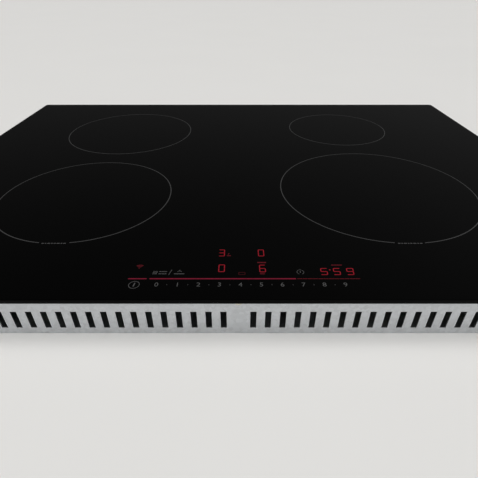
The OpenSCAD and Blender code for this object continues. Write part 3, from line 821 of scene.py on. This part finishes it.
def signal_icon():
    """Three arcs over a point."""
    icon = new_inlay()
    x, y = -80.0, 37.4
    icon.dot(x, y, 0.5)
    for radius in (1.6, 2.8, 4.0):
        icon.arc(x, y, radius, 0.6, 48, 132, 10)
    icon.lay("signal_icon", LIT_DIM, "lit_red")


def level_displays():
    """The power level of each zone, as seven-segment figures."""
    figures = [("rear_left", "3", -16.4, 53.8), ("front_left", "0", -15.8, 32.9),
               ("rear_right", "0", 16.9, 53.8), ("front_right", "6", 17.1, 32.6)]
    width, height, stroke = 4.5, 8.8, 0.75
    for zone, figure, x, y in figures:
        shown = new_inlay()
        shown.segment_figure(figure, x, y, width, height, stroke)
        shown.lay(zone + "_level", LIT_FIGURE, "lit_red")


def timer_display():
    """Hours and minutes of the timer, in slanted figures."""
    shown = new_inlay()
    base, width, height, stroke, slant = 29.2, 5.0, 7.8, 0.75, 0.1
    for figure, x in (("5", 65.4), ("5", 75.6), ("9", 86.2)):
        shown.segment_figure(figure, x, base, width, height, stroke, slant)
    shown.dot(73.2, 35.2, 0.6)
    shown.lay("timer_figures", LIT_FIGURE, "lit_red")


def status_marks():
    """Short lit dashes beside the displays, in place of small words."""
    marks = new_inlay()
    marks.bar(-9.4, 54.2, -6.8, 54.2, 1.0)
    marks.bar(-8.6, 56.0, -8.1, 57.4, 0.7)
    for x in (16.0, 18.3, 20.6):
        marks.bar(x, 44.8, x + 1.5, 44.8, 1.3)
    marks.bar(17.4, 30.2, 20.6, 30.2, 0.9)
    for x in (76.0, 78.2, 80.4, 82.6):
        marks.bar(x, 41.4, x + 1.2, 41.4, 1.1)
    marks.lay("status_marks", LIT_DIM, "lit_red")


def pan_icon():
    """A flat rounded outline, faintly lit."""
    icon = new_inlay()
    left, right, low, high = 0.3, 5.2, 29.2, 32.0
    corners = [(left, low), (right, low), (right, high), (left, high)]
    for start, end in zip(corners, corners[1:] + corners[:1]):
        icon.bar(*start, *end, 0.5)
    icon.lay("pan_icon", LIT_FAINT, "lit_red")


def clock_icon():
    """A broken circle with one hand and a knob on top."""
    icon = new_inlay()
    x, y = 49.3, 32.4
    icon.arc(x, y, 2.7, 0.45, -66, 66, 12)
    icon.arc(x, y, 2.7, 0.45, 114, 246, 12)
    icon.bar(x, y - 0.6, x, y + 1.6, 0.6)
    icon.bar(x - 0.7, y + 3.3, x + 0.7, y + 3.3, 0.4)
    icon.lay("clock_icon", ICON_PRINT, "zone_print")


glass = glass_plate()
bonding_bead()
worktop_seal()
ribbon()
plate_print()
for zone_name in ZONES:
    zone_ring(zone_name)
    compression_springs(zone_name + "_springs", zone_name + "_coil_float", **COIL_SPRING)
compression_springs("control_springs", "control_float", **CONTROL_SPRING)
slider()
slider_scale()
power_key()
left_icons()
signal_icon()
level_displays()
timer_display()
status_marks()
pan_icon()
clock_icon()


# ------------------------------------------------------------------- studio

def floor():
    """A wide pale floor under the tray."""
    size, clearance = 60.0, 0.2 * MM
    z = cad_box[0].z - clearance
    mesh = bpy.data.meshes.new("floor")
    mesh.from_pydata([(-size, -size, z), (size, -size, z), (size, size, z), (-size, size, z)],
                     [], [(0, 1, 2, 3)])
    surface = Surface("floor_paint", (0.8, 0.79, 0.77), 0.8)
    surface.tint(surface.noise(3.0, 2.0), 0.004)
    mesh.materials.append(surface.material)
    obj = bpy.data.objects.new("floor", mesh)
    bpy.context.scene.collection.objects.link(obj)


def soft_sun(name, azimuth, elevation, strength, spread):
    """A wide soft light from far away; azimuth 0 stands behind the camera."""
    lamp = bpy.data.lights.new(name, "SUN")
    lamp.energy = strength
    lamp.angle = math.radians(spread)
    obj = bpy.data.objects.new(name, lamp)
    a, e = math.radians(azimuth), math.radians(elevation)
    towards = Vector((math.sin(a) * math.cos(e), -math.cos(a) * math.cos(e), math.sin(e)))
    obj.rotation_euler = towards.to_track_quat("Z", "Y").to_euler()
    bpy.context.scene.collection.objects.link(obj)
    return obj


def keep_off(piece, lamps):
    """The lamps light all but the piece, so their discs don't show in it."""
    group = bpy.data.collections.new("off_" + piece.name)
    group.objects.link(piece)
    group.collection_objects[0].light_linking.link_state = "EXCLUDE"
    for lamp in lamps:
        lamp.light_linking.receiver_collection = group


def studio_world():
    """Pale where the camera sees it, and dim for all other rays: a little less
    dim to the right and towards the horizon."""
    world = bpy.data.worlds.new("studio")
    world.use_nodes = True
    nodes, links = world.node_tree.nodes, world.node_tree.links
    background = next(n for n in nodes if n.type == "BACKGROUND")
    direction = nodes.new("ShaderNodeTexCoord").outputs["Generated"]
    slope = nodes.new("ShaderNodeVectorMath")
    slope.operation = "DOT_PRODUCT"
    slope.inputs[1].default_value = (0.0171, 0.0, -0.019)  # per unit to the right and up
    links.new(direction, slope.inputs[0])
    level = nodes.new("ShaderNodeMath")
    level.operation = "ADD"
    level.inputs[1].default_value = 0.047  # straight ahead
    links.new(slope.outputs["Value"], level.inputs[0])
    rays = nodes.new("ShaderNodeLightPath")
    mix = nodes.new("ShaderNodeMix")
    mix.data_type = "RGBA"
    mix.inputs["B"].default_value = (0.86, 0.86, 0.85, 1)
    links.new(level.outputs["Value"], mix.inputs["A"])
    links.new(rays.outputs["Is Camera Ray"], mix.inputs["Factor"])
    links.new(mix.outputs["Result"], background.inputs["Color"])
    bpy.context.scene.world = world


def camera():
    """A low, near view over the front edge."""
    data = bpy.data.cameras.new("camera")
    data.sensor_width = 36
    data.lens = 28.98
    data.clip_start = 10 * MM
    data.clip_end = 200
    obj = bpy.data.objects.new("camera", data)
    off_centre, before_glass, over_glass = 0.45 * MM, 206.24 * MM, 193.67 * MM
    pitch_down = 34.149
    obj.location = (off_centre, glass_low.y - before_glass, glass_high.z + over_glass)
    obj.rotation_euler = (math.radians(90 - pitch_down), 0, 0)
    bpy.context.scene.collection.objects.link(obj)
    bpy.context.scene.camera = obj


floor()
key_light = soft_sun("key_light", -35, 66, 2.0, 50)
fill_light = soft_sun("fill_light", 60, 60, 1.1, 60)
keep_off(glass, [key_light, fill_light])
studio_world()
camera()
bpy.context.scene.view_settings.view_transform = "Standard"
